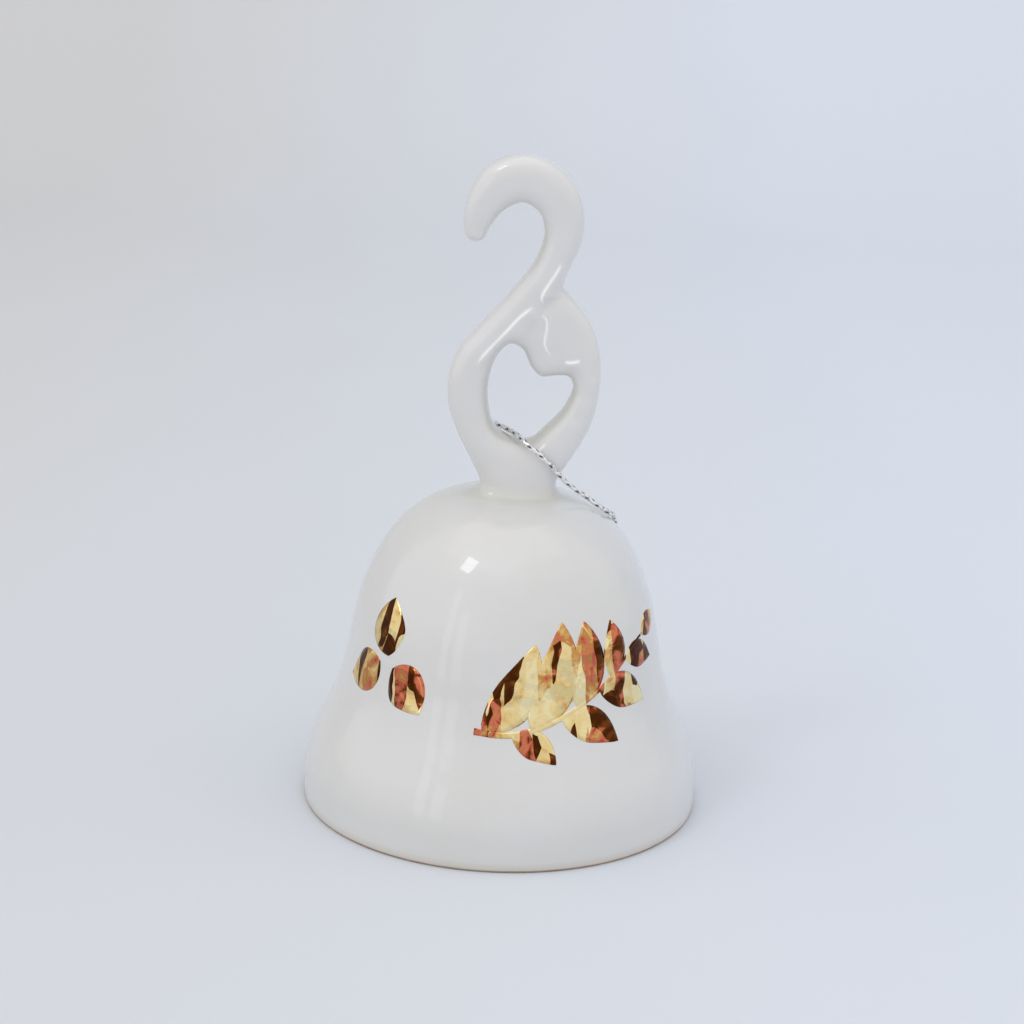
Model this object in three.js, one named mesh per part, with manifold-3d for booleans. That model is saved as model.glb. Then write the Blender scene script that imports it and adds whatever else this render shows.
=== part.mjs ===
// A small porcelain hand bell: a hollow bell open at its foot, a hook-and-loop
// handle luted to its crown, a wire-hung porcelain clapper inside, and a limp
// silver hanging cord looped through the handle and knotted.
// Millimetres, +Z up. The origin is at the centre of the foot, on the surface
// that the bell stands on. The handle lies in the XZ plane and its front is -Y.
import * as THREE from 'three';
import { mergeVertices } from 'three/addons/utils/BufferGeometryUtils.js';
import Module from 'manifold-3d';

const wasm = await Module();
wasm.setup();

// ---- Driving dimensions ----
const GAP = 0.3;                 // seam left between neighbouring pieces
const RIM_RADIUS = 45;           // widest radius, at the foot
const CROWN_HEIGHT = 72;         // top of the bell itself
const WALL = 3.5;                // wall of the bell
const SHELL_STEPS = 18;          // down the outer curve
const SHELL_SIDES = 44;
const HANDLE_THICKNESS = 9.5;    // front to back
const HANDLE_ROUNDING = 1.8;     // how far the rounding runs in from the outline
const PAD_HEIGHT = 3.5;          // the oval pad at the handle's foot
const PAD_NARROWING = 0.66;      // its front-to-back size over its width
const PAD_OFFSET = 1.4;          // its centre, to the right of the bell's axis

const LUG_BAR_RADIUS = 1.9;      // the porcelain eye inside the crown
const LUG_BEND_RADIUS = 4.5;
const LUG_PIVOT_HEIGHT = 61.5;   // centre of the lug's bar, where the link swings

const WIRE_RADIUS = 0.8;         // link and clapper wire
const LINK_BEND_RADIUS = 2.85;   // centreline of the link's two ends
const LINK_CENTRES = 6;          // between the centres of those ends
const EYE_RADIUS = 2;            // centreline of the clapper wire's eye
const EYE_DROP = 0.2;            // how far the eye hangs below the link's wire

const BALL_RADIUS = 9.5;         // clapper ball
const BALL_HEIGHT = 20;          // centre of the ball at rest
const STOP_RADIUS = 2;           // crimp under the ball
const STOP_LENGTH = 2;

const CORD_DIAMETER = 1.1;
const CORD_STEPS = 78;
const CORD_SIDES = 8;
const KNOT = new THREE.Vector3(30.3, 26.4, 26.4);
const KNOT_RADII = [2.0, 1.7, 2.4];
const KNOT_TURN = 131.5;         // degrees about Z, so that its flat side meets the bell

const LINK_PIVOT_HEIGHT = LUG_PIVOT_HEIGHT - LINK_CENTRES - LINK_BEND_RADIUS;
const CROWN_UNDERSIDE = CROWN_HEIGHT - WALL;

// ---- Materials ----
const porcelain = new THREE.MeshStandardMaterial({ color: 0xdcdcda, roughness: 0.08, metalness: 0 });
const steel = new THREE.MeshStandardMaterial({ color: 0xb4b4b2, roughness: 0.3, metalness: 1 });
const silverCord = new THREE.MeshStandardMaterial({ color: 0xb9b7b8, roughness: 0.35, metalness: 0.8 });

// ---- Helpers ----
function part(name, geometry, material) {
  const mesh = new THREE.Mesh(geometry, material);
  mesh.name = name;
  return mesh;
}

// A closed geometry as a solid for joining.
function toSolid(geometry) {
  const bare = geometry.clone();
  bare.deleteAttribute('normal');
  bare.deleteAttribute('uv');
  const merged = mergeVertices(bare, 1e-4);
  const corners = merged.index.array;
  const triVerts = [];
  for (let i = 0; i < corners.length; i += 3) {
    const [a, b, c] = corners.slice(i, i + 3);
    // A lathe leaves flat triangles where its profile meets the axis.
    if (a !== b && b !== c && c !== a) triVerts.push(a, b, c);
  }
  return new wasm.Manifold(new wasm.Mesh({
    numProp: 3,
    vertProperties: Float32Array.from(merged.attributes.position.array),
    triVerts: Uint32Array.from(triVerts),
  }));
}

// A solid back as a geometry.
function toGeometry(solid) {
  const mesh = solid.getMesh();
  const geometry = new THREE.BufferGeometry();
  geometry.setAttribute('position', new THREE.BufferAttribute(mesh.vertProperties, 3));
  geometry.setIndex(new THREE.BufferAttribute(mesh.triVerts, 1));
  return geometry;
}

// A LatheGeometry turns about Y, so it is stood up to turn about Z.
function lathe(profile, segments) {
  return new THREE.LatheGeometry(profile, segments).rotateX(Math.PI / 2);
}

function roundSection(radius, sides) {
  const section = new THREE.Shape();
  for (let i = 0; i < sides; i++) {
    const angle = (2 * Math.PI * i) / sides;
    const x = radius * Math.cos(angle);
    const y = radius * Math.sin(angle);
    if (i === 0) section.moveTo(x, y);
    else section.lineTo(x, y);
  }
  section.closePath();
  return section;
}

// A round bar or wire swept along points.
function sweep(points, radius, steps, sides) {
  const path = new THREE.CatmullRomCurve3(points, false, 'centripetal');
  return new THREE.ExtrudeGeometry(roundSection(radius, sides), { steps, extrudePath: path });
}

// ---- Bell ----
// The outer curve from the crown's centre to the foot, as [radius, height].
const OUTER_CURVE = [
  [0, CROWN_HEIGHT], [9, 71.8], [16, 70.6], [22, 66.9], [27, 61.5], [30.5, 55], [33.1, 48],
  [34.8, 40], [36.1, 33], [37.8, 27], [40.4, 21], [43.1, 15], [44.7, 9], [RIM_RADIUS, 4],
];

function bellShell() {
  const curve = new THREE.SplineCurve(OUTER_CURVE.map(([r, z]) => new THREE.Vector2(r, z)));
  const outer = curve.getSpacedPoints(SHELL_STEPS);
  // The inner curve runs a wall's thickness inside the outer one.
  const inner = outer.map((point, i) => {
    const tangent = curve.getTangentAt(i / SHELL_STEPS);
    return new THREE.Vector2(
      Math.max(point.x + tangent.y * WALL, 0),
      point.y - tangent.x * WALL,
    );
  });
  inner[0].set(0, CROWN_UNDERSIDE);
  // The foot: a flat standing ring with both its edges rounded off.
  const foot = [
    [RIM_RADIUS, 2], [RIM_RADIUS - 0.5, 0.5], [RIM_RADIUS - 1.2, 0],
    [RIM_RADIUS - WALL + 0.8, 0], [RIM_RADIUS - WALL + 0.1, 0.6],
  ].map(([r, z]) => new THREE.Vector2(r, z));
  // A lathe profile has to run upwards for its faces to point outwards.
  const profile = [...inner, ...foot.reverse(), ...outer.reverse()];
  return part('bell_shell', lathe(profile, SHELL_SIDES), porcelain);
}

// ---- Handle ----
// Outline in the XZ plane as [x, z]: up the loop's right side to the notch,
// then round the hook, its tip and its inside, and down the loop's left side.
const RIGHT_SIDE = [
  [10.3, 76.4], [12.6, 80], [15.4, 84.7], [17.7, 90.2], [18.9, 98], [18.1, 106.6], [15.9, 111.9],
  [12.6, 116.2], [9.9, 119.2],
];
const HOOK_AND_LEFT_SIDE = [
  [10.8, 123], [12.8, 127.5], [13.8, 133], [12.8, 139.3], [9.8, 143.9], [5.2, 147], [-0.6, 148],
  [-7, 145.6], [-10.1, 142], [-12.2, 136.4], [-12.3, 131.3], [-11.6, 129.4], [-9.7, 128.6],
  [-7.8, 129.4], [-6.7, 131.8], [-3.8, 135.6], [0.2, 137.5], [3.9, 135.4], [5.1, 131],
  [3.5, 125.2], [-1.2, 118.5], [-8.4, 109.9], [-12.4, 104.9], [-14.6, 99], [-14.6, 92.6],
  [-12.6, 86.6], [-9, 79.4],
];
const LOOP_HOLE = [
  [-1.2, 106.4], [1.4, 105.2], [3.4, 101.4], [5.7, 99.3], [9, 99.6], [11.8, 99.4], [12.8, 97.2],
  [10.8, 91.8], [7.5, 87.5], [3.8, 84], [-0.6, 84.9], [-4.2, 87.2], [-6, 92.4], [-5.9, 98.4],
  [-3.8, 104],
];

function splinePoints(list) {
  return list.map(([x, z]) => new THREE.Vector2(x, z));
}

function handle() {
  const footHeight = CROWN_HEIGHT + GAP;
  const outline = new THREE.Shape();
  outline.moveTo(10, footHeight);
  outline.splineThru(splinePoints(RIGHT_SIDE));
  outline.splineThru(splinePoints(HOOK_AND_LEFT_SIDE));
  outline.lineTo(-7.2, 75.7);
  outline.lineTo(-7, footHeight);
  outline.closePath();
  const hole = new THREE.Path();
  hole.setFromPoints(new THREE.SplineCurve(
    splinePoints([...LOOP_HOLE, LOOP_HOLE[0]]),
  ).getPoints(40).slice(0, -1));
  outline.holes.push(hole);

  const rounded = new THREE.ExtrudeGeometry(outline, {
    depth: HANDLE_THICKNESS - 2 * HANDLE_ROUNDING,
    bevelThickness: HANDLE_ROUNDING,
    bevelSize: HANDLE_ROUNDING,
    bevelOffset: -HANDLE_ROUNDING,
    bevelSegments: 2,
    curveSegments: 2,
  });
  rounded.translate(0, 0, HANDLE_ROUNDING - HANDLE_THICKNESS / 2).rotateX(Math.PI / 2);

  // The foot spreads on the crown as a flared oval pad.
  const padTop = footHeight + PAD_HEIGHT;
  const pad = lathe(splinePoints([
    [0, footHeight], [9.6, footHeight], [8.9, footHeight + 1.2], [8.4, padTop], [0, padTop],
  ]), 32).scale(1, PAD_NARROWING, 1).translate(PAD_OFFSET, 0, 0);
  return part('handle', toGeometry(toSolid(rounded).add(toSolid(pad))), porcelain);
}

// ---- Clapper hanger ----
// A porcelain eye: two legs and a half ring, in the YZ plane, under the crown.
function clapperLug() {
  const topHeight = CROWN_UNDERSIDE - GAP;
  const bendHeight = LUG_PIVOT_HEIGHT + LUG_BEND_RADIUS;
  const points = [new THREE.Vector3(0, -LUG_BEND_RADIUS, topHeight)];
  const bends = 10;
  for (let i = 0; i <= bends; i++) {
    const angle = (Math.PI * i) / bends;
    points.push(new THREE.Vector3(
      0,
      -LUG_BEND_RADIUS * Math.cos(angle),
      bendHeight - LUG_BEND_RADIUS * Math.sin(angle),
    ));
  }
  points.push(new THREE.Vector3(0, LUG_BEND_RADIUS, topHeight));
  return part('clapper_lug', sweep(points, LUG_BAR_RADIUS, 20, 12), porcelain);
}

// A wire link bent to a long ring in the XZ plane, its two ends nearly meeting.
function clapperLink() {
  const points = [];
  const upper = new THREE.Vector2(0, LUG_PIVOT_HEIGHT);
  const lower = new THREE.Vector2(0, LUG_PIVOT_HEIGHT - LINK_CENTRES);
  const seam = LUG_PIVOT_HEIGHT - LINK_CENTRES / 2;
  const halfSeam = 0.2;
  const bends = 10;
  points.push(new THREE.Vector3(LINK_BEND_RADIUS, 0, seam + halfSeam));
  for (let i = 0; i <= bends; i++) {
    const angle = (Math.PI * i) / bends;
    points.push(new THREE.Vector3(
      upper.x + LINK_BEND_RADIUS * Math.cos(angle), 0, upper.y + LINK_BEND_RADIUS * Math.sin(angle),
    ));
  }
  for (let i = 0; i <= bends; i++) {
    const angle = Math.PI + (Math.PI * i) / bends;
    points.push(new THREE.Vector3(
      lower.x + LINK_BEND_RADIUS * Math.cos(angle), 0, lower.y + LINK_BEND_RADIUS * Math.sin(angle),
    ));
  }
  points.push(new THREE.Vector3(LINK_BEND_RADIUS, 0, seam - halfSeam));
  return part('clapper_link', sweep(points, WIRE_RADIUS, 34, 8), steel);
}

// The clapper wire: an eye in the YZ plane round the link, then a straight stem.
function clapperWire() {
  const eyeHeight = LINK_PIVOT_HEIGHT - EYE_DROP;
  const stopBottom = BALL_HEIGHT - BALL_RADIUS - GAP - STOP_LENGTH;
  const points = [];
  const bends = 14;
  const firstAngle = -Math.PI / 2 + 0.95;
  const lastAngle = (3 * Math.PI) / 2 - 0.45;
  for (let i = 0; i <= bends; i++) {
    const angle = firstAngle + ((lastAngle - firstAngle) * i) / bends;
    points.push(new THREE.Vector3(
      0, EYE_RADIUS * Math.cos(angle), eyeHeight + EYE_RADIUS * Math.sin(angle),
    ));
  }
  points.push(new THREE.Vector3(0, 0, eyeHeight - EYE_RADIUS - 1.6));
  points.push(new THREE.Vector3(0, 0, eyeHeight - EYE_RADIUS - 3));
  points.push(new THREE.Vector3(0, 0, stopBottom - 0.6));
  return part('clapper_wire', sweep(points, WIRE_RADIUS, 44, 8), steel);
}

// The ball is bored through for the wire.
function clapperBall() {
  const bore = WIRE_RADIUS + GAP;
  const start = Math.asin(bore / BALL_RADIUS);
  const rings = 12;
  const profile = [];
  for (let i = 0; i <= rings; i++) {
    const angle = start + ((Math.PI - 2 * start) * i) / rings;
    profile.push(new THREE.Vector2(
      BALL_RADIUS * Math.sin(angle), BALL_HEIGHT - BALL_RADIUS * Math.cos(angle),
    ));
  }
  profile.unshift(profile[profile.length - 1].clone());
  return part('clapper_ball', lathe(profile, 24), porcelain);
}

// A crimp closed on the wire keeps the ball from sliding off.
function clapperStop() {
  const bore = WIRE_RADIUS + GAP;
  const top = BALL_HEIGHT - BALL_RADIUS - GAP;
  const bottom = top - STOP_LENGTH;
  const profile = splinePoints([
    [bore, top], [bore, bottom], [STOP_RADIUS - 0.4, bottom], [STOP_RADIUS, bottom + 0.5],
    [STOP_RADIUS, top - 0.5], [STOP_RADIUS - 0.4, top], [bore, top],
  ]);
  return part('clapper_stop', lathe(profile, 20), steel);
}

// ---- Hanging cord ----
// One cord: from the knot up the back of the bell, behind the handle, through
// the loop, over the loop's front edge and the shoulder, and back to the knot.
const CORD_ROUTE = [
  [27.7, 26.1, 29.4], [25.8, 26.6, 33.0], [23.8, 27.1, 38.2], [21.2, 27.7, 44.6],
  [18.1, 27.8, 51.1], [14.3, 26.8, 57.7], [10.3, 24.1, 64.2], [6.5, 19.8, 69.1],
  [3.0, 15.0, 72.0], [-0.8, 11.0, 73.2], [-4.2, 8.2, 75.4], [-7.2, 6.8, 78.8],
  [-8.9, 6.2, 81.8], [-9.4, 6.2, 84.1], [-8.5, 6.4, 86.2], [-6.4, 6.5, 87.1],
  [-4.1, 5.6, 86.6], [-2.0, 3.4, 86.2], [-0.1, 0.3, 86.1], [1.6, -3.1, 85.8],
  [3.6, -5.7, 84.6], [6.1, -6.1, 82.8], [8.6, -5.9, 80.4], [10.8, -5.1, 77.8],
  [13.2, -3.2, 75.2], [16.6, -1.2, 72.4], [20.2, 0.4, 69.5], [22.5, 2.2, 67.6],
  [23.4, 6.3, 66.2], [24.0, 11.0, 63.8], [24.7, 14.8, 60.5], [25.5, 17.9, 55.9],
  [26.7, 20.1, 50.3], [27.6, 21.5, 44.2], [28.3, 22.5, 37.6], [29.3, 23.5, 31.0],
];

function hangingCord() {
  const points = CORD_ROUTE.map(([x, y, z]) => new THREE.Vector3(x, y, z));
  return part('hanging_cord', sweep(points, CORD_DIAMETER / 2, CORD_STEPS, CORD_SIDES), silverCord);
}

function cordKnot() {
  const geometry = new THREE.SphereGeometry(1, 14, 10);
  geometry.scale(...KNOT_RADII);
  geometry.rotateZ(THREE.MathUtils.degToRad(KNOT_TURN));
  geometry.translate(KNOT.x, KNOT.y, KNOT.z);
  return part('cord_knot', geometry, silverCord);
}

// ---- The whole bell ----
const bell = new THREE.Group();
bell.add(
  bellShell(),
  handle(),
  clapperLug(),
  clapperLink(),
  clapperWire(),
  clapperBall(),
  clapperStop(),
  hangingCord(),
  cordKnot(),
);

export default bell;
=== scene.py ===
"""The looks of a porcelain hand bell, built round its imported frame.

Metres, +Z up, the bell's front is -Y. Lengths in the tables are millimetres, times MM.
"""
import math

import bpy
import numpy as np
from mathutils import Matrix, Vector


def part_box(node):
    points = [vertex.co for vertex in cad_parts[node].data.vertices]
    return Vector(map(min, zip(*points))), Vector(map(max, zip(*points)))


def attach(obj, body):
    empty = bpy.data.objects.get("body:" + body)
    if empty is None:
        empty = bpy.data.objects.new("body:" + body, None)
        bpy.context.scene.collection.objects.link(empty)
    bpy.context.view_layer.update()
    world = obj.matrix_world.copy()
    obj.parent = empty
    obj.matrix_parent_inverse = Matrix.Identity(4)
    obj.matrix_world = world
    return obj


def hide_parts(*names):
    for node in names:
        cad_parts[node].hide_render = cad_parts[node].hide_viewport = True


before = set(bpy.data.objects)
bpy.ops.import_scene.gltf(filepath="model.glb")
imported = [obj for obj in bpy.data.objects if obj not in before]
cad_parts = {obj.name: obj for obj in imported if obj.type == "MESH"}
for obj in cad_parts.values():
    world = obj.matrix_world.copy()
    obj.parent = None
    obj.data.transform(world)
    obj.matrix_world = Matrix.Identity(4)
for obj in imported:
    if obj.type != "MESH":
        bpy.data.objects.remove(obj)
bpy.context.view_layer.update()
MM = 0.001

# ---- Sizes, from the frame ----
SHELL_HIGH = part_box("bell_shell")[1]
HANDLE_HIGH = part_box("handle")[1]
RIM_RADIUS = SHELL_HIGH.x
CROWN_HEIGHT = SHELL_HIGH.z
CORD_DIAMETER = 1.1 * MM


# ---- Curves and meshes ----
def spline(points, per_segment, closed=False):
    """A centripetal Catmull-Rom curve through the points."""
    def between(one, other, low, high):
        return (high - t) / (high - low) * one + (t - low) / (high - low) * other

    p = np.asarray(points, float)
    if closed:
        p = np.vstack([p[-1], p, p[0], p[1]])
    else:
        p = np.vstack([2 * p[0] - p[1], p, 2 * p[-1] - p[-2]])
    parts = []
    for a, b, c, d in zip(p, p[1:], p[2:], p[3:]):
        t1 = np.linalg.norm(b - a) ** 0.5
        t2 = t1 + np.linalg.norm(c - b) ** 0.5
        t3 = t2 + np.linalg.norm(d - c) ** 0.5
        t = np.linspace(t1, t2, per_segment, endpoint=False)[:, None]
        bc = between(b, c, t1, t2)
        abc = between(between(a, b, 0, t1), bc, 0, t2)
        bcd = between(bc, between(c, d, t2, t3), t1, t3)
        parts.append(between(abc, bcd, t1, t2))
    if not closed:
        parts.append(p[-2][None])
    return np.vstack(parts)


def evenly(line, count):
    """The line again, as that many points at even distances."""
    along = np.r_[0, np.cumsum(np.linalg.norm(np.diff(line, axis=0), axis=1))]
    at = np.linspace(0, along[-1], count)
    return np.stack([np.interp(at, along, line[:, k]) for k in range(line.shape[1])], axis=1)


def around(sides):
    """That many angles, evenly round a circle."""
    return np.arange(sides) * 2 * np.pi / sides


def line_length(line):
    return float(np.linalg.norm(np.diff(line, axis=0), axis=1).sum())


def transported(line):
    """Tangent, normal and binormal at each point of a 3-D line, with no twist between them."""
    tangent = np.gradient(line, axis=0)
    tangent /= np.linalg.norm(tangent, axis=1)[:, None]
    normal = np.zeros_like(line)
    start = np.cross(tangent[0], (0.0, 0.0, 1.0))
    if np.linalg.norm(start) < 0.1:
        start = np.cross(tangent[0], (0.0, 1.0, 0.0))
    normal[0] = start / np.linalg.norm(start)
    for i in range(1, len(line)):
        n = normal[i - 1] - tangent[i] * (normal[i - 1] @ tangent[i])
        normal[i] = n / np.linalg.norm(n)
    return tangent, normal, np.cross(tangent, normal)


def placed(name, data):
    """A new object in the scene."""
    thing = bpy.data.objects.new(name, data)
    bpy.context.scene.collection.objects.link(thing)
    return thing


def new_piece(name, points, faces, material, body):
    """A smooth-shaded visible piece, on its body and in its material slot."""
    mesh = bpy.data.meshes.new(name)
    mesh.from_pydata([tuple(p) for p in points], [], [tuple(int(i) for i in f) for f in faces])
    mesh.validate()
    mesh.polygons.foreach_set("use_smooth", [True] * len(mesh.polygons))
    mesh.materials.append(material)
    piece = placed(name, mesh)
    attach(piece, body)
    return piece


def mark(piece, name, values):
    """A number at each vertex, for the piece's material to read."""
    attribute = piece.data.attributes.new(name, "FLOAT", "POINT")
    attribute.data.foreach_set("value", np.asarray(values, np.float32))


def tube_mesh(line, radii, sides):
    """Points and faces of a closed tube, of one radius, one for each ring, or a row for each ring."""
    _, normal, binormal = transported(line)
    radii = np.asarray(radii, float)
    if radii.ndim == 1:
        radii = radii[:, None]
    radii = np.broadcast_to(radii, (len(line), sides))
    turn = around(sides)[None, :, None]
    ring = normal[:, None] * np.cos(turn) + binormal[:, None] * np.sin(turn)
    points = (line[:, None] + ring * radii[:, :, None]).reshape(-1, 3)
    faces = []
    for i in range(len(line) - 1):
        for k in range(sides):
            a, b = i * sides + k, i * sides + (k + 1) % sides
            faces.append((a, b, b + sides, a + sides))
    first, last = len(points), len(points) + 1
    points = np.vstack([points, line[0], line[-1]])
    end = (len(line) - 1) * sides
    for k in range(sides):
        faces.append((first, (k + 1) % sides, k))
        faces.append((last, end + k, end + (k + 1) % sides))
    return points, faces


def lathe_mesh(profile, sides, wobble=lambda angle, height: 0.0):
    """Points and faces of a turned body. Its profile ends on the axis or closes on itself."""
    profile = np.asarray(profile, float)
    on_axis = profile[:, 0] < 1e-9
    points, rows = [], []
    for (r, z), axis in zip(profile, on_axis):
        if axis:
            rows.append([len(points)] * sides)
            points.append((0.0, 0.0, z))
            continue
        rows.append(list(range(len(points), len(points) + sides)))
        for a in around(sides):
            out = r + wobble(a, z)
            points.append((out * math.cos(a), out * math.sin(a), z))
    if not on_axis.any():
        rows.append(rows[0])
    faces = []
    for low, high in zip(rows, rows[1:]):
        for k in range(sides):
            n = (k + 1) % sides
            corners = [low[k], low[n], high[n], high[k]]
            face = [c for i, c in enumerate(corners) if c not in corners[:i]]
            if len(face) > 2:
                faces.append(face)
    return points, faces


# ---- Camera: the front view, from a little above ----
CAMERA_PLACE = Vector((0.5 * MM, -516.6 * MM, 220.0 * MM))
CAMERA_PITCH = math.radians(16.44)
CAMERA_ROLL = math.radians(2.285)
CAMERA_LENS = 84.375
CAMERA_FILM = 36


def make_camera():
    camera = placed("camera", bpy.data.cameras.new("camera"))
    camera.data.sensor_width = CAMERA_FILM
    camera.data.lens = CAMERA_LENS
    camera.data.clip_start = 0.01
    turn = Matrix.Rotation(math.pi / 2 - CAMERA_PITCH, 4, "X") @ Matrix.Rotation(CAMERA_ROLL, 4, "Z")
    camera.matrix_world = Matrix.Translation(CAMERA_PLACE) @ turn
    bpy.context.scene.camera = camera


make_camera()


# ---- Materials ----
def feed(tree, node, inputs):
    """Gives each of the inputs a constant or another node's output."""
    for key, value in inputs.items():
        if isinstance(value, bpy.types.NodeSocket):
            tree.links.new(value, node.inputs[key])
        else:
            node.inputs[key].default_value = value


def add(tree, kind, inputs=None, **settings):
    node = tree.nodes.new(kind)
    for key, value in settings.items():
        setattr(node, key, value)
    feed(tree, node, inputs or {})
    return node


def new_material(name):
    """A material, its node tree, its shader and the coordinates that its patterns go by."""
    material = bpy.data.materials.new(name)
    material.use_nodes = True
    tree = material.node_tree
    place = add(tree, "ShaderNodeTexCoord").outputs["Object"]
    return material, tree, tree.nodes["Principled BSDF"], place


def ramp(tree, factor, stops, interpolation="LINEAR"):
    """A colour by a factor, from (place, colour) stops."""
    node = add(tree, "ShaderNodeValToRGB", {"Fac": factor})
    node.color_ramp.interpolation = interpolation
    elements = node.color_ramp.elements
    while len(elements) < len(stops):
        elements.new(0.5)
    for element, (place, colour) in zip(elements, stops):
        element.position = place
        element.color = (*colour, 1.0)
    return node.outputs["Color"]


def noise(tree, place, scale, detail=3.0, roughness=0.5, distortion=0.0, output="Fac"):
    return add(tree, "ShaderNodeTexNoise", {
        "Vector": place, "Scale": scale, "Detail": detail, "Roughness": roughness,
        "Distortion": distortion,
    }).outputs[output]


def maths(tree, operation, *values):
    """The result of one Math node, from sockets or constants."""
    return add(tree, "ShaderNodeMath", dict(enumerate(values)), operation=operation).outputs[0]


def spread(tree, value, low, high, at_low=0.0, at_high=1.0):
    """The value's way from low to high, clamped, as a number between at_low and at_high."""
    return add(tree, "ShaderNodeMapRange", {
        "Value": value, "From Min": low, "From Max": high, "To Min": at_low, "To Max": at_high,
    }).outputs["Result"]


def marked(tree, name):
    """The number that mark() left on the mesh."""
    return add(tree, "ShaderNodeAttribute", attribute_name=name).outputs["Fac"]


def blended(tree, factor, first, second, blend_type="MIX"):
    """The first colour run into the second, which may be a constant."""
    node = add(tree, "ShaderNodeMix", {"Factor": factor}, data_type="RGBA", blend_type=blend_type)
    # A Mix node has one set of sockets for each data type, so its colour sockets go by place.
    feed(tree, node, {6: first, 7: second})
    return node.outputs[2]


def roughened(tree, shader, factor, at_low, at_high):
    """Roughness between two values, by a pattern."""
    feed(tree, shader, {"Roughness": spread(tree, factor, 0.0, 1.0, at_low, at_high)})


def bumped(tree, shader, height, strength, depth, coat=False):
    """Relief by a pattern, on the coat as well where there is one."""
    bump = add(tree, "ShaderNodeBump", {"Height": height, "Strength": strength, "Distance": depth})
    for name in ("Normal", "Coat Normal") if coat else ("Normal",):
        tree.links.new(bump.outputs["Normal"], shader.inputs[name])


BRIGHT = (1, 1, 1)
DARK = (0, 0, 0)

# Each glaze drifts in soft clouds from its white to a slightly warmer, darker tone.
HANDLE_WHITE = (0.73, 0.73, 0.735)
HANDLE_WARM = (0.705, 0.70, 0.69)
BELL_WHITE = (0.70, 0.70, 0.70)
BELL_WARM = (0.675, 0.672, 0.655)
POOLED_GLAZE_AND_SHADE = (0.50, 0.505, 0.41, 1)
# Painted highlight: the white of highlight lines on the handle's edges.
PAINTED_HIGHLIGHT_WHITE = (1, 1, 1, 1)
SPECK_BROWN = (0.30, 0.26, 0.21, 1)
POOLING_AND_SHADE = "pooling_and_shade"                # the vertex attribute that says where glaze has gathered and shade is painted
PAINTED_HIGHLIGHT = "painted_highlight"              # and the one that says where highlight lines are painted along edges
HOLLOW_SHADE = "hollow_shade"                  # and the one that says how much shade is painted into the cord's hollows, by how deep its surface lies
GLAZE_ROUGHNESS = 0.32             # of the body under the clear coat
COAT_ROUGHNESS = 0.025
COAT_IOR = 1.5


def porcelain_material(name, white, warm, foot_line=False):
    """A clear, glossy glaze over white, with soft clouds, a gentle ripple and a few dark specks."""
    material, tree, shader, place = new_material(name)
    clouds = noise(tree, place, 35.0, 4.0, 0.6)
    cloudy = ramp(tree, clouds, [(0.35, warm), (0.62, white)])
    specks = add(tree, "ShaderNodeTexVoronoi", {"Vector": place, "Scale": 95.0}, feature="F1")
    speck_here = ramp(tree, specks.outputs["Distance"], [(0.0, BRIGHT), (0.035, DARK)])
    rare = ramp(tree, specks.outputs["Color"], [(0.90, DARK), (0.93, BRIGHT)], "CONSTANT")
    spotted = blended(tree, maths(tree, "MULTIPLY", speck_here, rare), cloudy, SPECK_BROWN)
    # Pooled glaze and painted shade: a darker greenish tint where glaze gathers, also standing in for the
    # shade in the handle's creases and round its foot.
    pooled_and_shaded = blended(tree, marked(tree, POOLING_AND_SHADE), spotted, POOLED_GLAZE_AND_SHADE)
    # Painted highlight: pure white lines along the handle's raised edges, standing in for the window's
    # reflection.
    base = blended(tree, marked(tree, PAINTED_HIGHLIGHT), pooled_and_shaded, PAINTED_HIGHLIGHT_WHITE)
    if foot_line:
        base = bare_foot(tree, shader, place, base)
    else:
        feed(tree, shader, {"Roughness": GLAZE_ROUGHNESS, "Coat Weight": 1.0})
    feed(tree, shader, {"Base Color": base, "Coat Roughness": COAT_ROUGHNESS, "Coat IOR": COAT_IOR})
    ripple = noise(tree, place, 160.0, 2.0, 0.5)
    swell = noise(tree, place, 28.0, 2.0, 0.5)
    bumped(tree, shader, maths(tree, "MULTIPLY_ADD", swell, 6.0, ripple), 0.13, 0.24 * MM, coat=True)
    return material


FOOT_TAN = (0.56, 0.42, 0.31)
FOOT_BLUSH = (0.90, 0.84, 0.77)    # the glaze's tint just above the bare clay
FOOT_RAGGED = 0.35 * MM            # how uneven the glaze's edge is
FOOT_TOP = 2.4 * MM                # where the blush has gone
CLAY_ROUGHNESS = 0.85


def bare_foot(tree, shader, place, base):
    """The standing ring is unglazed: a fine toasted line where the glaze ends, then matt bare clay."""
    height = add(tree, "ShaderNodeSeparateXYZ", {"Vector": place}).outputs["Z"]
    ragged = noise(tree, place, 220.0, 2.0, 0.5)
    edge = maths(tree, "MULTIPLY_ADD", ragged, FOOT_RAGGED, height)
    where = spread(tree, edge, FOOT_RAGGED, FOOT_TOP)
    tint = ramp(tree, where, [(0.0, FOOT_TAN), (0.10, FOOT_TAN), (0.22, FOOT_BLUSH), (1.0, BRIGHT)])
    glazed = ramp(tree, where, [(0.1, DARK), (0.3, BRIGHT)])
    roughened(tree, shader, glazed, CLAY_ROUGHNESS, GLAZE_ROUGHNESS)
    feed(tree, shader, {"Coat Weight": glazed})
    return blended(tree, 1.0, base, tint, "MULTIPLY")


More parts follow.
